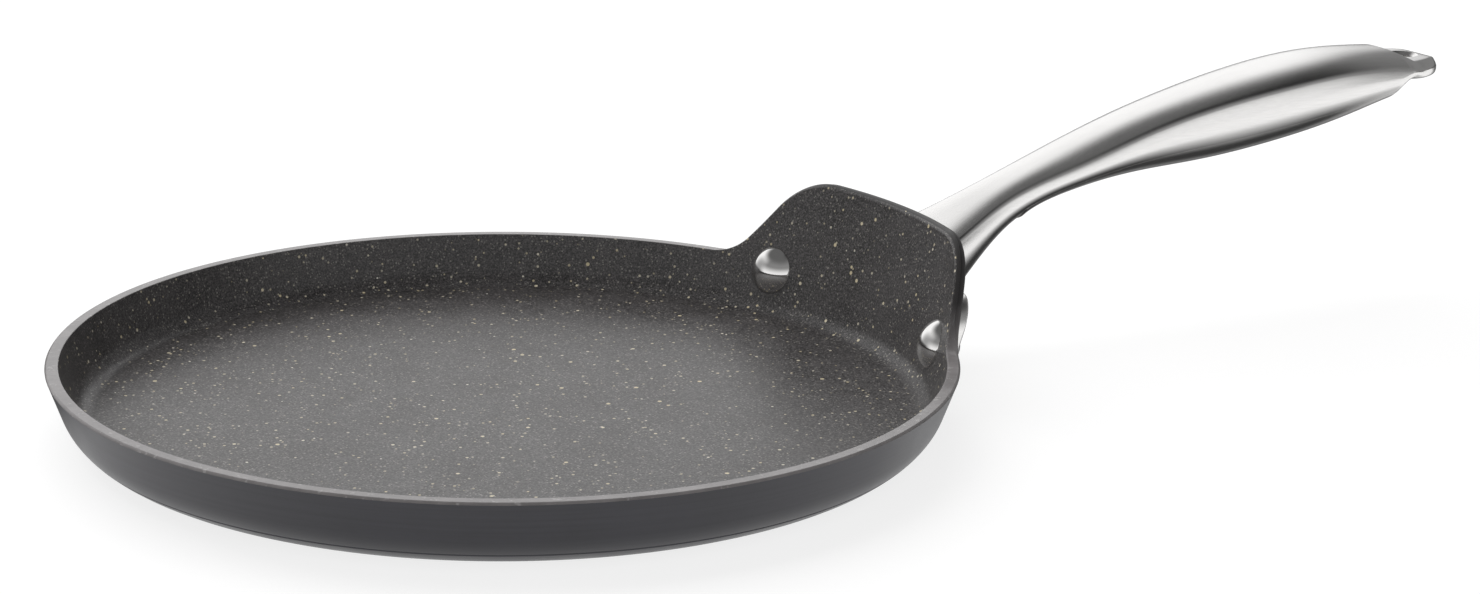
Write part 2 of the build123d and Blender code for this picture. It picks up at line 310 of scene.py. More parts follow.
def bowl_rings(bowl):
    """Rings of the bowl's skin, closed loops about the axis, from the underside round to the floor.

    Each ring is radius(turn), height(turn): underside and bend, outer cones up to the top edge,
    a bevel, the edge face, a small round, the inner cone down, the inner bend and the floor.
    """
    flange_turn, fine_step, coarse_count = 34, 0.32, 460
    fine = np.arange(-flange_turn, flange_turn, fine_step)
    coarse = np.linspace(flange_turn, 360 - flange_turn, coarse_count, endpoint=False)
    turn = np.radians(np.concatenate([fine, coarse]))
    outer_top = bowl.top(turn, bowl.outside)
    inner_top = bowl.top(turn, bowl.inside)
    one = np.ones_like(turn)
    rows, slots = [], []
    outer, edge_face, inner = 0, 1, 2
    hair = 1e-6

    def row(radius, z, slot):
        rows.append((radius * one, z * one))
        slots.append(slot)

    corner = float(bowl.outside(np.array(0.0)))
    bend_middle = corner - bowl.outer_bend * np.tan((np.pi / 2 - bowl.out_angle) / 2)
    for share in (0.004, 0.2, 0.45, 0.7, 0.9, 0.985):
        row(bend_middle * share, 0, outer)
    line = np.arcsin((bowl.foot_line - bowl.outer_bend) / bowl.outer_bend)
    line_bottom, line_shoulder, line_clear = 0.012, 0.028, 0.05
    angles = np.concatenate([
        np.linspace(-np.pi / 2, line - line_clear, 9),
        line + np.array([-line_shoulder, -line_bottom, 0, line_bottom, line_shoulder]),
        np.linspace(line + line_clear, -bowl.out_angle, 6),
    ])
    for angle in angles:
        cut = bowl.line_depth if abs(angle - line) < line_bottom + hair else 0
        reach = bowl.outer_bend - cut
        row(bend_middle + reach * np.cos(angle), bowl.outer_bend + reach * np.sin(angle), outer)
    start = bowl.outer_bend - bowl.outer_bend * np.sin(bowl.out_angle)
    edge_start = bowl.height - bowl.bevel
    for share in (0.2, 0.4, 0.6, 0.8, 0.95, 1.0):
        z = start + (edge_start - start) * share
        row(bowl.outside(z - hair), z, outer)
    # The edge is bevelled on the rim, and more and more rounded as it climbs the flange.
    lifted = ease(0, bowl.climb, outer_top - bowl.height)
    edge = bowl.bevel + bowl.bevel_gain * lifted
    lip = bowl.lip + bowl.lip_gain * lifted
    rim_roundness = 0.35
    curved = rim_roundness + (1 - rim_roundness) * lifted
    for share in (0.02, 0.06, 0.13, 0.21, 0.3, 0.39, 0.48, 0.57, 0.66, 0.75, 0.84, 0.92, 0.97, 1.0):
        z = edge_start + (outer_top - edge - edge_start) * share
        row(bowl.outside(z + hair), z, outer)
    for angle in np.linspace(0.15, 1, 7) * np.pi / 2:
        straight = (1 - curved) * angle / (np.pi / 2)
        z = outer_top - edge + edge * (curved * np.sin(angle) + straight)
        inward = edge * (curved * (1 - np.cos(angle)) + straight)
        row(bowl.outside(outer_top - edge + hair) - inward, z, edge_face)
    outer_lip = bowl.outside(outer_top - edge + hair) - edge
    inner_lip = bowl.inside(inner_top) + lip
    for share in (0.15, 0.5, 0.85, 1.0):
        z = outer_top + (inner_top - outer_top) * share
        row(outer_lip + (inner_lip - outer_lip) * share, z, edge_face)
    for angle in np.linspace(0.15, 1, 7) * np.pi / 2:
        z = inner_top - lip * (1 - np.cos(angle))
        row(inner_lip - lip * (1 + bowl.inn) * np.sin(angle), z, edge_face if angle < 0.8 else inner)
    wall_top = bowl.height - bowl.lip
    for share in (0.03, 0.08, 0.16, 0.25, 0.34, 0.43, 0.52, 0.61, 0.7, 0.79, 0.87, 0.94, 0.98, 1.0):
        z = inner_top - lip + (wall_top - inner_top + lip) * share
        row(bowl.inside(z), z, inner)
    inner_corner = float(bowl.inside(bowl.floor))
    inner_middle = inner_corner - bowl.inner_bend * np.tan((np.pi / 2 - bowl.inn_angle) / 2)
    bend_top = bowl.floor + bowl.inner_bend - bowl.inner_bend * np.sin(bowl.inn_angle)
    for share in (0.25, 0.5, 0.75, 1.0):
        z = wall_top + (bend_top - wall_top) * share
        row(bowl.inside(z), z, inner)
    for angle in np.linspace(-bowl.inn_angle, -np.pi / 2, 11)[1:]:
        z = bowl.floor + bowl.inner_bend + bowl.inner_bend * np.sin(angle)
        row(inner_middle + bowl.inner_bend * np.cos(angle), z, inner)
    for share in (0.985, 0.9, 0.75, 0.55, 0.35, 0.15, 0.004):
        row(inner_middle * share, bowl.floor, inner)
    rings = np.array([
        np.stack([radius * np.cos(turn), radius * np.sin(turn), z], -1) for radius, z in rows
    ])
    return rings, slots[1:]


# The grip's section at each station along it: shares of the half width, the half width's crown, the rise
# of the creases and the depth of the trough. Then the trough's form at the grip and at the tongue.
STATIONS = (0, 0.055, 0.12, 0.205, 0.335, 0.465, 0.6, 0.73, 0.865, 1)
WIDTHS = (1.47, 1.07, 0.81, 0.61, 0.68, 0.76, 0.86, 0.98, 1, 0.9)
CROWNS = (0.08, 0.1, 0.12, 0.15, 0.19, 0.22, 0.232, 0.243, 0.27, 0.32)
RISES = (0.178, 0.256, 0.355, 0.487, 0.639, 0.777, 0.886, 0.96, 1, 0.982)
DEPTHS = (1.195, 1.234, 0.985, 0.605, 0.498, 0.707, 0.937, 1, 0.88, 0.49)
TROUGH = ((1, 0), (1.07, 0.36), (0.66, 0.86), (0, 1), (-0.66, 0.86), (-1.07, 0.36), (-1, 0))
FLAT_TROUGH = ((1, 0), (1.01, 0.4), (0.84, 0.93), (0, 1), (-0.84, 0.93), (-1.01, 0.4), (-1, 0))
CROWN_SHARE = 0.975

# Places past the end of the grip, the tongue's lift above the last crease, and the length of the slope
# that cuts the crown off above the tongue, in millimetres, with the width and crown shares at its start.
HOLE_OFFSET, FOOT_OFFSET = 9.1, 4.3
TIP_LIFT = 1.1
RAMP, RAMP_WIDTH, RAMP_CROWN = 7.0, 0.91, 0.315

# The tongue's crown in millimetres, the drop of its creases, and the height of its nose's edge as a share.
TIP_CROWN, TIP_DROP, NOSE_SHARE = 3.9, 2.0, 0.22


def trough_curve(points, count=2001):
    """Half turn of the trough: a natural cubic spline through its points, by the distance along them."""
    p = np.array(points, float)
    along = np.concatenate([[0], np.cumsum(np.hypot(*np.diff(p * (1, 1.2), axis=0).T))])
    at = np.linspace(0, along[-1], count)
    return smooth_table(along, p[:, 0], at), smooth_table(along, p[:, 1], at)


class Grip:
    """Sizes of the section across the handle at any distance x from the pan's axis."""

    def __init__(self, sizes, bowl):
        self.start = sizes.start / MM
        self.reach = sizes.reach / MM
        self.end = self.start + self.reach
        self.half_width = sizes.half_width / MM
        self.rise = sizes.rise / MM
        self.deep = sizes.depth / MM
        self.tip = sizes.tip_radius / MM
        self.tip_thickness = sizes.tip_thickness / MM
        self.base = bowl.height
        self.hole = self.end + HOLE_OFFSET
        self.nose = self.hole + self.tip
        self.tip_top = self.crease(self.end) + TIP_LIFT
        self.tip_low = self.tip_top - self.tip_thickness
        self.foot = self.end + FOOT_OFFSET

    def table(self, values, x):
        return smooth_table(STATIONS, values, np.clip((x - self.start) / self.reach, 0, 1))

    def crease(self, x):
        return self.base + self.rise * self.table(RISES, x)

    def section(self, x):
        """Half width, crease height, crown, trough depth, crease rounding, flatness of the trough and roof.

        Past the end of the grip the half width closes as w sqrt(1 - t^2), where t is 1 at the nose. The top
        and underside of the tongue draw together by sqrt(1 - q^4.5), where q runs from 0 at the hole to 1 at
        the nose. The roof is the height at which the crown is cut off: a slope down to the tongue's top,
        and then that top.
        """
        width = self.half_width * self.table(WIDTHS, x)
        crest = CROWN_SHARE * width * self.table(CROWNS, x)
        crease = self.crease(x)
        under = crease - self.deep * self.table(DEPTHS, x)
        t = np.clip((x - self.end) / (self.nose - self.end), 0, 1)
        width = width * np.sqrt(np.maximum(1 - t**2, 0))
        tongue = ease(self.end - 1, self.end + 6, x)
        q = np.clip((x - self.hole) / self.tip, 0, 1)
        near = np.sqrt(np.maximum(1 - q**4.5, 0))
        nose_z = self.tip_low + NOSE_SHARE * self.tip_thickness
        top = nose_z + (self.tip_top - nose_z) * near
        low = nose_z + (self.tip_low - nose_z) * near**0.5
        crease = crease + (top - TIP_DROP * near - crease) * tongue
        under = under + (low - under) * ease(self.end - 6, self.end + 2.5, x)
        crest = crest + (TIP_CROWN * near - crest) * tongue
        roof = np.where(x < self.foot, self.ramp(x), top)
        grip_rounding, tip_gain, limit = 1.2, 0.3, 0.42
        rounding = grip_rounding + tip_gain * ease(self.end - 2, self.hole + 4, x)
        rounding = np.minimum(rounding, limit * np.maximum(width, 0.02))
        return width, crease, crest, crease - under, rounding, ease(self.end - 6, self.hole, x), roof

    def ramp(self, x):
        """Height of the sloped plane that cuts the crown off above the tongue."""
        crest = self.half_width * RAMP_WIDTH * RAMP_CROWN
        lift = self.crease(self.foot - RAMP) + crest - self.tip_top
        return self.tip_top + np.maximum(self.foot - x, 0) / RAMP * lift


def grip_loops(grip, x, crown_points=41, trough_points=61):
    """Closed loops across the handle: a crown z = crease + crest (1 - |u|^p), a trough by its spline,
    and at each crease a quadratic curve that rounds the corner over the rounding distance.
    """
    width, crease, crest, depth, rounding, flat, roof = (v[:, None] for v in grip.section(x))
    power, root_gain, root_length = 2.5, 2.0, 70
    full = (power + root_gain * (1 - ease(grip.start, grip.start + root_length, x)))[:, None]

    def crown(u):
        z = crease + crest * (1 - np.abs(u) ** full)
        return u * width, np.where(x[:, None] > grip.end - 2 * RAMP, smaller(z, roof, soft=0.2), z)

    side, down = trough_curve(TROUGH)
    side_flat, down_flat = trough_curve(FLAT_TROUGH)
    grid = np.arange(len(side))
    # The rounding takes up this share of the crown's half width and of the trough's length.
    u_end = 1 - rounding / np.maximum(width, 1e-3)
    t_end = np.clip(rounding / np.maximum(2 * width + 1.4 * depth, 1e-3), 0.0005, 0.2)

    def trough(t):
        place = t * grid[-1]
        y = np.interp(place, grid, side) * (1 - flat) + np.interp(place, grid, side_flat) * flat
        z = np.interp(place, grid, down) * (1 - flat) + np.interp(place, grid, down_flat) * flat
        return y * width, crease - z * depth

    u = u_end * np.linspace(1, -1, crown_points)[None, :]
    top_y, top_z = crown(u)
    t = (1 - t_end) + (2 * t_end - 1) * np.linspace(0, 1, trough_points)[None, :]
    low_y, low_z = trough(t)
    b = np.linspace(0, 1, 6)[None, 1:-1]

    def corner(ay, az, by, bz, sign):
        """Quadratic curve from a to b that is drawn towards the sharp crease."""
        cy = sign * width
        cz = crown(sign * np.ones_like(width))[1]
        y = (1 - b) ** 2 * ay + 2 * b * (1 - b) * cy + b**2 * by
        z = (1 - b) ** 2 * az + 2 * b * (1 - b) * cz + b**2 * bz
        return y, z

    right = corner(top_y[:, -1:], top_z[:, -1:], low_y[:, :1], low_z[:, :1], -1)
    left = corner(low_y[:, -1:], low_z[:, -1:], top_y[:, :1], top_z[:, :1], 1)
    y = np.concatenate([top_y, right[0], low_y, left[0]], 1)
    z = np.concatenate([top_z, right[1], low_z, left[1]], 1)
    return y, z


def handle_rings(grip, bowl):
    """Rings of the handle's skin along x.

    Near the root each ring bends back round the wall by y^2 / (2 radius), and swells by an exponential flare,
    so that it grows out of the root plate.
    """
    first, root_end, body_end, ramp_end = grip.start - 1.5, grip.start + 30, grip.end - 7, grip.foot + 1
    root = np.linspace(first, root_end, 60, endpoint=False)
    body = np.linspace(root_end, body_end, 150, endpoint=False)
    ramp = np.linspace(body_end, ramp_end, 56, endpoint=False)
    turn = np.linspace(0, 1, 60) * np.pi / 2 * 0.985
    tongue = ramp_end + (grip.nose - ramp_end) * np.sin(turn)
    x = np.concatenate([root, body, ramp, tongue])
    y, z = grip_loops(grip, x)
    flare_start, flare_length, flare_width, flare_height, flare_blend = 3.5, 5.0, 0.30, 1.2, 4
    flare = np.exp(-np.maximum(x - grip.start - flare_start, 0) / flare_length)[:, None]
    middle = (grip.crease(x) - 0.5 * grip.deep)[:, None]
    y = y * (1 + flare_width * flare)
    z = z + np.clip(z - middle, 0, flare_blend) / flare_blend * flare_height * flare
    bend_length, in_plate = 26, 1.2
    back = y**2 / (2 * bowl.radius) * (1 - ease(grip.start, grip.start + bend_length, x))[:, None]
    wall = np.sqrt((bowl.outside(z) + in_plate) ** 2 - y**2)
    return np.stack([np.maximum(x[:, None] - back, wall), y, z], -1)


def underside_rings(grip, lip):
    """Rings of the welded underside: the lowest part of the trough, standing proud by the lip.

    Its outer face lies that far outside the trough along the normal, and its inner face a thickness inside.
    """
    first, last, low_share, thickness = 0.24, 0.985, 0.64, 1.2
    sections, across = 160, 61
    x = grip.start + grip.reach * np.linspace(first, last, sections)
    width, crease, _, depth, _, _, _ = (v[:, None] for v in grip.section(x))
    side, down = trough_curve(TROUGH)
    keep = np.where(down > low_share)[0]
    pick = np.linspace(keep[0], keep[-1], across).astype(int)
    y, z = side[pick][None, :] * width, crease - down[pick][None, :] * depth
    along_y, along_z = np.gradient(y, axis=1), np.gradient(z, axis=1)
    size = np.hypot(along_y, along_z)
    out_y, out_z = -along_z / size, along_y / size
    if (out_z[:, across // 2] > 0).mean() > 0.5:
        out_y, out_z = -out_y, -out_z
    # The lip swells at both ends of the underside and sinks towards both of its long edges.
    plain, swell, swell_length, sink, sink_length = 0.8, 2.0, 3, 0.85, 4
    ends = np.minimum(np.linspace(0, 1, sections), np.linspace(1, 0, sections)) * sections
    proud = lip * (plain + swell * np.exp(-ends / swell_length))[:, None]
    edges = np.minimum(np.arange(across), np.arange(across)[::-1])
    proud = proud * (1 - sink * np.exp(-edges / sink_length))[None, :]
    outer_y, outer_z = y + out_y * proud, z + out_z * proud
    inner_y, inner_z = y - out_y * thickness, z - out_z * thickness
    loop_y = np.concatenate([outer_y, inner_y[:, ::-1]], 1)
    loop_z = np.concatenate([outer_z, inner_z[:, ::-1]], 1)
    return np.stack([np.repeat(x[:, None], loop_y.shape[1], 1), loop_y, loop_z], -1)


def plate_rings(bowl, half_width=52.25, low=8.5, high=31.0, corner=9.0, thickness=3.0):
    """Rings of the root plate: rounded rectangles that shrink to the middle, laid on a cone round the wall.

    A ring at inset o and height h has the point (x, y, z) with y and z on the rounded rectangle
    and x = sqrt((radius(z) + h)^2 - y^2). The rim is rounded by a quarter circle, and the back is sunk
    into the wall by that circle's radius.
    """
    edge = 0.8
    low_radius = float(bowl.outside(np.array(low))) + thickness
    high_radius = float(bowl.outside(np.array(high))) + thickness
    middle = (low + high) / 2
    t = np.linspace(0, 4, 320, endpoint=False)
    quarter = t.astype(int)
    swing = (t - quarter) * 2
    arc = np.clip(swing, 0, 1) * np.pi / 2 + quarter * np.pi / 2
    side = np.clip(swing - 1, 0, 1)

    def rectangle(inset):
        a, b, r = half_width - inset, (high - low) / 2 - inset, max(corner - inset, 0.5)
        cy = np.array([a - r, -(a - r), -(a - r), a - r])
        cz = np.array([b - r, b - r, -(b - r), -(b - r)])
        y = cy[quarter] + r * np.cos(arc)
        z = cz[quarter] + r * np.sin(arc)
        y = y + side * (cy[(quarter + 1) % 4] - cy[quarter])
        z = z + side * (cz[(quarter + 1) % 4] - cz[quarter])
        return y, z

    rings = []

    def ring(inset, lift, share=1.0):
        y, z = rectangle(inset)
        y, z = y * share, z * share + middle
        radius = low_radius + (high_radius - low_radius) * (z - low) / (high - low) - thickness + lift
        rings.append(np.stack([np.sqrt(radius**2 - y**2), y, z], -1))

    for share in (0.02, 0.2, 0.4, 0.6, 0.8, 0.93, 1):
        ring(0, -edge, share)
    ring(0, thickness - edge)
    for angle in np.linspace(0.2, 1, 5) * np.pi / 2:
        ring(edge * (1 - np.cos(angle)), thickness - edge + edge * np.sin(angle))
    for share in (0.97, 0.93, 0.86, 0.78, 0.68, 0.58, 0.48, 0.38, 0.28, 0.18, 0.09, 0.02):
        ring(edge, thickness, share)
    return np.array(rings)


def lathe_rings(profile, columns=96):
    """Rings of a turned form: each (radius, height) of the profile goes once round the local axis."""
    turn = np.linspace(0, 2 * np.pi, columns, endpoint=False)
    return np.array([
        np.stack([r * np.cos(turn), r * np.sin(turn), np.full(columns, z)], -1) for r, z in profile
    ])


def rivet_profile(rivets, grip_length):
    """Profile of a rivet: a tail that is a spherical cap, a shank, and a head that is a cap on a band."""
    head, head_height = rivets.head_radius / MM, rivets.head_height / MM
    tail, tail_height = rivets.tail_radius / MM, rivets.tail_height / MM
    shank, band, sunk, bevel = 3.0, 0.5, 0.02, 0.1

    def cap(base, height, count):
        """Points of a spherical cap: radius R sin(a), height R cos(a) - (R - height), to the edge."""
        sphere = (base**2 + height**2) / (2 * height)
        edge = np.arctan2(base, sphere - height)
        a = edge * np.linspace(0.01, 1, count)
        return sphere * np.sin(a), sphere * np.cos(a) - (sphere - height)

    tail_r, tail_z = cap(tail, tail_height, 14)
    head_r, head_z = cap(head, head_height - band, 26)
    end = -grip_length
    points = [(r, end - z) for r, z in zip(tail_r, tail_z)]
    points += [(tail - sunk, end + sunk), (shank, end + sunk), (shank, 0)]
    points += [(head - bevel, 0), (head, bevel)]
    points += [(r, band + z) for r, z in zip(head_r[::-1], head_z[::-1])]
    return points


# ---- materials

class Wire:
    """One socket of a node tree. Arithmetic on it adds Math nodes."""

    def __init__(self, graph, socket):
        self.graph, self.socket = graph, socket

    def math(self, operation, *others):
        return self.graph.add("ShaderNodeMath", {"operation": operation}, dict(enumerate((self, *others))))

    def __add__(self, other): return self.math("ADD", other)
    def __radd__(self, other): return self.math("ADD", other)
    def __sub__(self, other): return self.math("SUBTRACT", other)
    def __rsub__(self, other): return self.graph.number(other).math("SUBTRACT", self)
    def __mul__(self, other): return self.math("MULTIPLY", other)
    def __rmul__(self, other): return self.math("MULTIPLY", other)
    def __truediv__(self, other): return self.math("DIVIDE", other)
    def __rtruediv__(self, other): return self.graph.number(other).math("DIVIDE", self)
    def __pow__(self, other): return self.math("POWER", other)
    def __neg__(self): return self.math("MULTIPLY", -1.0)
    def __lt__(self, other): return self.math("LESS_THAN", other)
    def __gt__(self, other): return self.math("GREATER_THAN", other)


class Graph:
    """A node tree under construction."""

    def __init__(self, tree):
        self.tree = tree
        tree.nodes.clear()

    def add(self, kind, settings=None, inputs=None, out=0):
        """Adds a node: its settings, then a value or link for each socket named. Returns one output."""
        node = self.tree.nodes.new(kind)
        for key, value in (settings or {}).items():
            setattr(node, key, value)
        for key, value in (inputs or {}).items():
            if isinstance(value, Wire):
                self.tree.links.new(value.socket, node.inputs[key])
            else:
                node.inputs[key].default_value = value
        return Wire(self, node.outputs[out]) if node.outputs else None

    def also(self, wire, out):
        """Another output of the node that a wire comes from."""
        return Wire(self, wire.socket.node.outputs[out])

    def number(self, value):
        return self.add("ShaderNodeMath", {"operation": "ADD"}, {0: value, 1: 0.0})

    def mix(self, factor, a, b):
        """Colour a where the factor is 0 and b where it is 1."""
        a, b = ((*tone, 1) if isinstance(tone, tuple) else tone for tone in (a, b))
        return self.add("ShaderNodeMix", {"data_type": "RGBA"}, {0: factor, 6: a, 7: b}, 2)

    def along(self, way, direction):
        """How far a vector goes in a direction of length 1: their dot product."""
        return self.add("ShaderNodeVectorMath", {"operation": "DOT_PRODUCT"}, {0: way, 1: direction}, "Value")

    def place(self, scale=(1, 1, 1)):
        """Object coordinates, stretched."""
        here = self.add("ShaderNodeTexCoord", out="Object")
        return self.add("ShaderNodeMapping", {}, {"Vector": here, "Scale": scale})

    def noise(self, vector, scale, detail=3.0, roughness=0.55):
        return self.add("ShaderNodeTexNoise", {}, {
            "Vector": vector, "Scale": scale, "Detail": detail, "Roughness": roughness})

    def cells(self, vector, scale):
        """Distance to the nearest of a set of scattered points, and two random numbers of that point."""
        near = self.add("ShaderNodeTexVoronoi", {"feature": "F1"}, {"Vector": vector, "Scale": scale})
        chance = self.add("ShaderNodeSeparateColor", {}, {0: self.also(near, "Color")})
        return near, chance, self.also(chance, 1)

    def span(self, value, low, high, to_low=0.0, to_high=1.0, curve="LINEAR"):
        """Maps low..high to to_low..to_high, held at both ends."""
        return self.add("ShaderNodeMapRange", {"clamp": True, "interpolation_type": curve}, {
            0: value, 1: low, 2: high, 3: to_low, 4: to_high})

    def soft(self, value, low, high, to_low=0.0, to_high=1.0):
        """The same with a smooth step."""
        return self.span(value, low, high, to_low, to_high, "SMOOTHSTEP")

    def bump(self, height, strength, distance):
        return self.add("ShaderNodeBump", {}, {
            "Strength": strength, "Distance": distance, "Height": height})

    def surface(self, **inputs):
        """A Principled shader on the material's output."""
        named = {key.replace("_", " ").title(): value for key, value in inputs.items()}
        shader = self.add("ShaderNodeBsdfPrincipled", {}, named)
        self.add("ShaderNodeOutputMaterial", {}, {0: shader})


def new_material(name):
    material = bpy.data.materials.new(name)
    material.use_nodes = True
    return material, Graph(material.node_tree)


def shade(tone, share):
    """A colour made darker or lighter."""
    return tuple(min(1.0, share * part) for part in tone)


def speckled_coat(name, ground, fleck):
    """Dark stone-look coat: a mottled ground with fine pale grains, cream flecks and a few large ones.

    A grain or fleck is where the distance to a scattered point is under a radius that differs for each point.
    """
    material, g = new_material(name)
    here = g.place()
    mottle = g.noise(here, 70.0, detail=4.0)
    grain = g.noise(here, 1900.0, detail=2.0)
    near, chance, tint = g.cells(here, 1200.0)
    fine = (near < 0.10 + chance * 0.26) * (tint > 0.15)
    near, chance2, tint2 = g.cells(here, 480.0)
    small = (near < 0.10 + chance2 * 0.12) * (tint2 > 0.45)
    near, chance3, tint3 = g.cells(here, 213.0)
    large = (near < 0.06 + chance3 * 0.075) * (tint3 > 0.6)
    pale, paler, palest = (0.40, 0.38, 0.35), (0.80, 0.78, 0.72), (0.85, 0.82, 0.74)
    base = g.mix(g.span(mottle, 0.35, 0.65), shade(ground, 0.72), shade(ground, 1.3))
    base = g.mix(g.span(grain, 0.42, 0.62, to_high=0.7), base, shade(ground, 4.0))
    base = g.mix(fine * chance * 0.6, base, pale)
    base = g.mix(small * g.span(chance2, 0.0, 1.0, 0.25, 0.9), base, g.mix(tint2, paler, fleck))
    base = g.mix(large, base, g.mix(chance3, palest, fleck))
    height = grain * 0.5 + mottle * 0.5 + small * 0.4 + large * 0.5
    g.surface(
        base_color=base,
        roughness=g.span(mottle, 0.3, 0.7, 0.30, 0.39),
        normal=g.bump(height, strength=0.4, distance=0.00012),
    )
    return material


def plain_coat(name, ground):
    """Smooth satin coat with a faint mottle, fine turning marks and soft wear."""
    material, g = new_material(name)
    here = g.place()
    mottle = g.noise(here, 45.0, detail=4.0)
    grain = g.noise(here, 3200.0, detail=2.0)
    turned = g.noise(g.place((1, 1, 60)), 18.0)
    cloud = g.span(mottle * 0.6 + turned * 0.4, 0.35, 0.65)
    g.surface(
        base_color=g.mix(cloud, shade(ground, 0.85), shade(ground, 1.2)),
        roughness=g.span(mottle, 0.3, 0.7, 0.33, 0.41),
        normal=g.bump(grain * 0.6 + turned * 0.4, strength=0.08, distance=0.0002),
    )
    return material


def edge_coat(name, ground):
    """Ground edge of the rim: smooth and pale, partly from wear and partly from painted sheen, and coated
    dark again where it climbs the flange.
    """
    material, g = new_material(name)
    here = g.place()
    mottle = g.noise(here, 160.0, detail=4.0)
    grain = g.noise(here, 2400.0, detail=2.0)
    nick = g.noise(here, 520.0, detail=2.0)
    height = g.add("ShaderNodeSeparateXYZ", {}, {0: here}, "Z")
    climbed = g.span(height, 0.0208, 0.031)
    metal = (0.45, 0.44, 0.43)
    # Pale edge colour: partly wear, partly painted sheen that lightens the base in place of the coat's
    # reflection; the nicks below are bare metal.
    wear_and_painted_sheen = g.mix(g.span(mottle, 0.35, 0.7), shade(ground, 5.6), shade(ground, 7.4))
    wear_and_painted_sheen = g.mix(g.span(nick, 0.62, 0.72, to_high=0.6), wear_and_painted_sheen, metal)
    g.surface(
        base_color=g.mix(climbed, wear_and_painted_sheen, ground),
        roughness=g.span(climbed, 0.0, 1.0, 0.22, 0.48) + (mottle - 0.5) * 0.12,
        normal=g.bump(grain + nick * 0.6, strength=0.12, distance=0.00015),
    )
    return material


def satin_steel(name, tone):
    """Satin steel: metal with fine marks drawn out along the handle in its colour, roughness and bump."""
    material, g = new_material(name)
    marks = g.noise(g.place((1, 22, 22)), 110.0, detail=5.0, roughness=0.65)
    fine = g.noise(g.place((1, 30, 30)), 420.0, detail=2.0)
    cloud = g.noise(g.place(), 38.0)
    g.surface(
        base_color=g.mix(g.span(marks, 0.35, 0.65), shade(tone, 0.93), tone),
        metallic=1.0,
        roughness=g.span(marks * 0.5 + cloud * 0.5, 0.35, 0.65, 0.18, 0.25),
        normal=g.bump(marks * 0.6 + fine * 0.4, strength=0.08, distance=0.00006),
    )
    return material


def polished_steel(name, tone):
    """Polished steel with faint hairlines and a little haze."""
    material, g = new_material(name)
    haze = g.noise(g.place(), 300.0)
    lines = g.noise(g.place((4, 1, 1)), 2500.0, detail=2.0)
    g.surface(
        base_color=g.mix(g.span(haze, 0.3, 0.7), shade(tone, 0.95), tone),
        metallic=1.0,
        roughness=g.span(haze, 0.3, 0.7, 0.04, 0.08),
        normal=g.bump(lines, strength=0.03, distance=0.00005),
    )
    return material


# ---- operators

def finish_piece(piece, slot, *nodes):
    """Hides the CAD parts the piece replaces and fixes the piece to the pan's body."""
    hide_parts(*nodes)
    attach(piece, "root")


class PAN_OT_bowl(bpy.types.Operator):
    """Builds the bowl with its rim and flange as one skin, coated inside and outside"""
    bl_idname = "pan.bowl"
    bl_label = "Bowl"

    def execute(self, context):
        finish = context.scene.pan_finish
        bowl = Bowl(context.scene.pan_bowl)
        rings, slots = bowl_rings(bowl)
        coats = [
            plain_coat("outside coat", tuple(finish.coat_outside)),
            edge_coat("rim edge", tuple(finish.coat_inside)),
            speckled_coat("speckled coat", tuple(finish.coat_inside), tuple(finish.fleck)),
        ]
        piece = skin_piece("bowl", rings, coats, slots, sharp=30)
        finish_piece(piece, "coated_aluminium", "pan_body")
        return {"FINISHED"}


class PAN_OT_handle(bpy.types.Operator):
    """Builds the handle: grip with its tongue and hanging hole, root plate, and welded underside"""
    bl_idname = "pan.handle"
    bl_label = "Handle"

    def execute(self, context):
        scene = context.scene
        bowl = Bowl(scene.pan_bowl)
        grip = Grip(scene.pan_handle, bowl)
        steel = satin_steel("satin steel", tuple(scene.pan_finish.steel))
        shell = skin_piece("grip", handle_rings(grip, bowl), [steel], sharp=40)
        self.drill(shell, grip, scene.pan_handle)
        finish_piece(shell, "satin_steel", "handle_body")
        plate = skin_piece("root_plate", plate_rings(bowl), [steel], sharp=40)
        finish_piece(plate, "satin_steel", "handle_body")
        lip = scene.pan_handle.lip / MM
        under = skin_piece("grip_underside", underside_rings(grip, lip), [steel], sharp=40)
        finish_piece(under, "satin_steel", "handle_belly")
        return {"FINISHED"}

    def drill(self, shell, grip, sizes):
        """Cuts the hanging hole with a turned cutter that flares at both faces of the tongue."""
        radius, bevel = sizes.hole_radius / MM, sizes.hole_bevel / MM
        top, low = grip.tip_top, grip.tip_low
        axis, past = 0.02, 4.0
        profile = [(axis, low - past), (radius + bevel + past, low - past), (radius, low + bevel)]
        profile += [(radius, top - bevel), (radius + bevel + past, top + past), (axis, top + past)]
        rings = lathe_rings(profile, columns=72) + np.array([grip.hole, 0, 0])
        cutter = skin_piece("hole_cutter", rings, [], sharp=30)
        cut = shell.modifiers.new("hole", "BOOLEAN")
        cut.operation, cut.solver, cut.object = "DIFFERENCE", "EXACT", cutter
        graph = bpy.context.evaluated_depsgraph_get()
        mesh = bpy.data.meshes.new_from_object(shell.evaluated_get(graph))
        shell.modifiers.clear()
        old = shell.data
        shell.data = mesh
        bpy.data.meshes.remove(old)
        bpy.data.objects.remove(cutter)
        mesh.name = "grip"
        mesh.polygons.foreach_set("use_smooth", np.ones(len(mesh.polygons), bool))
        mesh.set_sharp_from_angle(angle=np.radians(35))


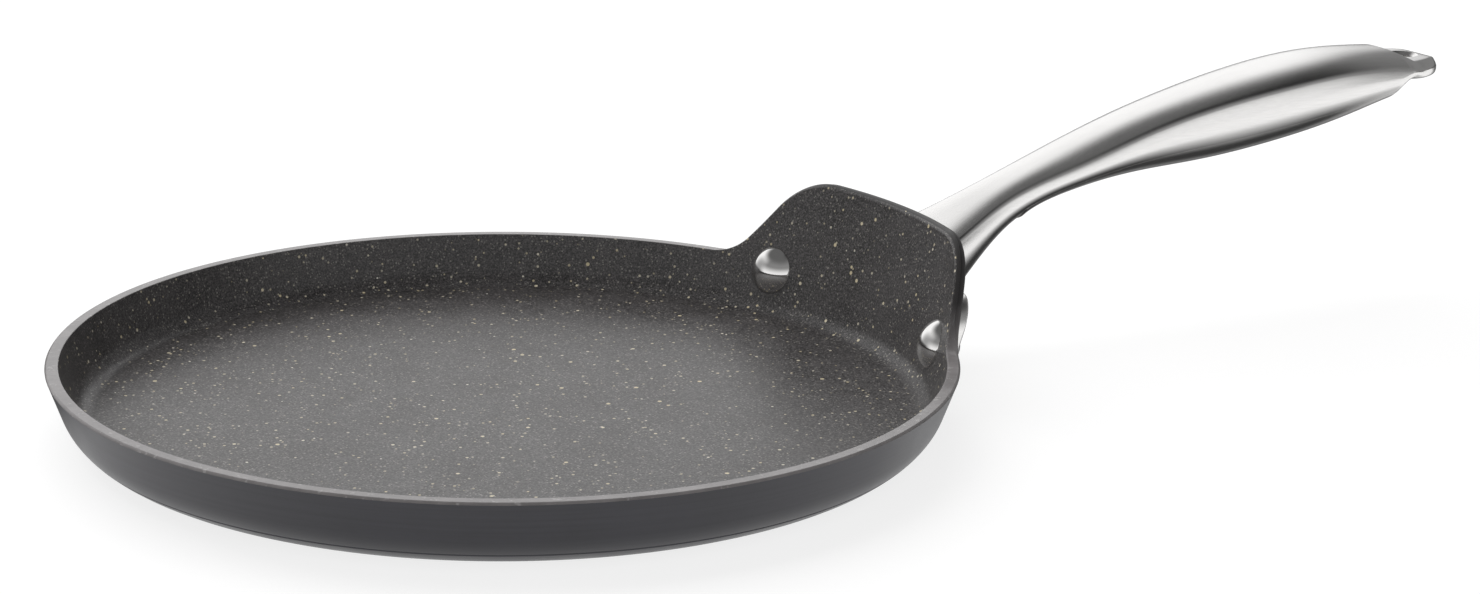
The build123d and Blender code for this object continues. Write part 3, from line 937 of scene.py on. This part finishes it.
class PAN_OT_rivets(bpy.types.Operator):
    """Builds the two rivets through the wall and the root plate"""
    bl_idname = "pan.rivets"
    bl_label = "Rivets"

    def execute(self, context):
        scene = context.scene
        bowl = Bowl(scene.pan_bowl)
        rivets = scene.pan_rivets
        steel = polished_steel("polished steel", tuple(scene.pan_finish.rivet))
        height = bowl.height - rivets.drop / MM
        wall = float(bowl.inside(height))
        seat, grip_length = 0.25, 5.75
        rings = lathe_rings(rivet_profile(rivets, grip_length))
        lean = bowl.inn_angle
        for name, side in (("left", 1), ("right", -1)):
            turn = side * np.arcsin(rivets.half_spacing / MM / wall)
            inward = np.array([-np.cos(lean) * np.cos(turn), -np.cos(lean) * np.sin(turn), np.sin(lean)])
            across = np.array([-np.sin(turn), np.cos(turn), 0])
            up = np.cross(inward, across)
            centre = np.array([wall * np.cos(turn), wall * np.sin(turn), height]) - seat * inward
            placed = centre + rings @ np.stack([across, up, inward])
            piece = skin_piece(f"rivet_{name}_dome", placed, [steel], sharp=40)
            finish_piece(piece, "polished_steel", f"rivet_{name}")
        return {"FINISHED"}


class PAN_OT_stage(bpy.types.Operator):
    """Sets up the floor, the light and the camera"""
    bl_idname = "pan.stage"
    bl_label = "Stage"

    def execute(self, context):
        scene = context.scene
        studio = scene.pan_studio
        self.floor()
        self.sky(scene, studio)
        self.lamp("key", place=(0.0, 1.1, 1.4), size=2.0, power=27.0)
        self.lamp("fill", place=(-0.2, -0.95, 1.05), size=0.9, power=1.5)
        data = bpy.data.cameras.new("camera")
        data.sensor_width = 36.0
        data.lens = studio.lens
        data.clip_start, data.clip_end = 0.01, 50.0
        camera = bpy.data.objects.new("camera", data)
        scene.collection.objects.link(camera)
        camera.location = studio.camera_place
        camera.rotation_mode = "QUATERNION"
        ahead = Vector(studio.camera_look).normalized()
        right = ahead.cross(Vector(studio.camera_up)).normalized()
        axes = Matrix((right, right.cross(ahead), -ahead)).transposed()
        camera.rotation_quaternion = axes.to_quaternion()
        scene.camera = camera
        scene.view_settings.view_transform = "Standard"
        return {"FINISHED"}

    def floor(self):
        """A wide flat floor: white to the camera apart from the pan's soft shadow. To reflections it carries
        a painted shade, a dark strip under the handle and to the handle's left, which steel mirrors.

        The distance to the strip's middle line is sqrt(past^2 + y^2), past being how far x is past its ends.
        """
        half, under = 6.0, 0.0002
        corners = [(-half, -half, 0), (half, -half, 0), (half, half, 0), (-half, half, 0)]
        mesh = bpy.data.meshes.new("floor")
        mesh.from_pydata(corners, [], [(0, 1, 2, 3)])
        material, g = new_material("floor")
        along = g.add("ShaderNodeSeparateXYZ", {}, {0: g.add("ShaderNodeTexCoord", out="Object")})
        across = g.also(along, "Y")
        shade_strip_middle, shade_strip_half, white = 0.23, 0.11, 0.8
        past = ((along - shade_strip_middle).math("ABSOLUTE") - shade_strip_half).math("MAXIMUM", 0.0)
        away = (past * past + across * across).math("SQRT")
        camera = g.add("ShaderNodeLightPath", out="Is Camera Ray")
        glossy, through = g.also(camera, "Is Glossy Ray"), g.also(camera, "Is Transmission Ray")
        # Painted shade for reflections only: glossy rays see the floor's glow drop and its colour turn dark
        # in the strip under the handle.
        clear_of_painted_shade = g.span(away, 0.015, 0.09) * g.span(across, 0.02, 0.06, 1.0, 0.1)
        glow = (camera + glossy * clear_of_painted_shade + through) * white
        tone = g.mix(glossy * (1 - clear_of_painted_shade), (0.3, 0.3, 0.3), (0.05, 0.05, 0.05))
        paper = g.add("ShaderNodeBsdfDiffuse", {}, {"Color": tone})
        light = g.add("ShaderNodeEmission", {}, {"Color": (1, 1, 1, 1), "Strength": glow})
        both = g.add("ShaderNodeAddShader", {}, {0: paper, 1: light})
        g.add("ShaderNodeOutputMaterial", {}, {0: both})
        mesh.materials.append(material)
        piece = bpy.data.objects.new("floor", mesh)
        bpy.context.scene.collection.objects.link(piece)
        piece.location.z = -under

    def sky(self, scene, studio):
        """Light from all round, and plain white to the camera.

        From behind the pan it is white up to half the height of the sky and dark overhead, with a dim band
        just above the horizon and a shade at each side. From the camera's side it is dim above the horizon.
        """
        world = bpy.data.worlds.new("studio")
        scene.world = world
        world.use_nodes = True
        g = Graph(world.node_tree)
        way = g.add("ShaderNodeTexCoord", out="Generated")
        height = g.add("ShaderNodeSeparateXYZ", {}, {0: way}, "Z")
        behind, aside = g.along(way, (0.524, 0.852, 0.0)), g.along(way, (0.852, -0.524, 0.0))
        rear = g.soft(behind, -0.45, 0.15)
        band = g.span(height, 0.03, 0.12, 0.2, 1.0)
        sides = g.soft(aside, 0.12, 0.34, 1.0, 0.2) * g.soft(aside, -0.95, -0.65, 0.35, 1.0)
        far = g.soft(height, 0.53, 0.85, studio.horizon, studio.overhead) * band * sides
        over = g.soft(height, 0.55, 0.9)
        near = g.soft(height, 0.05, 0.5, 1.0, studio.front) * (1 - over) + over * studio.overhead
        camera = g.add("ShaderNodeLightPath", out="Is Camera Ray")
        light = camera + (1 - camera) * (far * rear + near * (1 - rear))
        back = g.add("ShaderNodeBackground", {}, {"Color": (1, 1, 1, 1), "Strength": light})
        g.add("ShaderNodeOutputWorld", {}, {0: back})

    def lamp(self, name, place, size, power):
        """A square soft lamp that points at the pan and isn't mirrored in it."""
        aim = Vector((0.08, 0, 0.03))
        data = bpy.data.lights.new(name, "AREA")
        data.shape, data.size, data.energy = "SQUARE", size, power
        lamp = bpy.data.objects.new(name, data)
        bpy.context.scene.collection.objects.link(lamp)
        lamp.location = place
        lamp.rotation_mode = "QUATERNION"
        lamp.rotation_quaternion = (aim - Vector(place)).to_track_quat("-Z", "Y")
        lamp.visible_glossy = False


class PAN_PT_panel(bpy.types.Panel):
    """Sizes, colours and light of the pan, and the buttons that build it"""
    bl_label = "Crepe Pan"
    bl_idname = "PAN_PT_panel"
    bl_space_type = "VIEW_3D"
    bl_region_type = "UI"
    bl_category = "Crepe Pan"

    def draw(self, context):
        for group in (context.scene.pan_bowl, context.scene.pan_handle, context.scene.pan_rivets,
                      context.scene.pan_finish, context.scene.pan_studio):
            box = self.layout.box()
            for name in group.__annotations__:
                box.prop(group, name)
        for operator in OPERATORS:
            self.layout.operator(operator.bl_idname)


GROUPS = {
    "pan_bowl": PanBowlSizes,
    "pan_handle": PanHandleSizes,
    "pan_rivets": PanRivetSizes,
    "pan_finish": PanFinish,
    "pan_studio": PanStudio,
}
OPERATORS = (PAN_OT_bowl, PAN_OT_handle, PAN_OT_rivets, PAN_OT_stage)


def register():
    for name, group in GROUPS.items():
        bpy.utils.register_class(group)
        setattr(bpy.types.Scene, name, bpy.props.PointerProperty(type=group))
    for cls in (*OPERATORS, PAN_PT_panel):
        bpy.utils.register_class(cls)


def unregister():
    for cls in (PAN_PT_panel, *reversed(OPERATORS)):
        bpy.utils.unregister_class(cls)
    for name, group in reversed(GROUPS.items()):
        delattr(bpy.types.Scene, name)
        bpy.utils.unregister_class(group)


def main():
    register()
    bpy.ops.pan.bowl()
    bpy.ops.pan.handle()
    bpy.ops.pan.rivets()
    bpy.ops.pan.stage()
    bpy.context.view_layer.update()


if __name__ == "__main__":
    main()
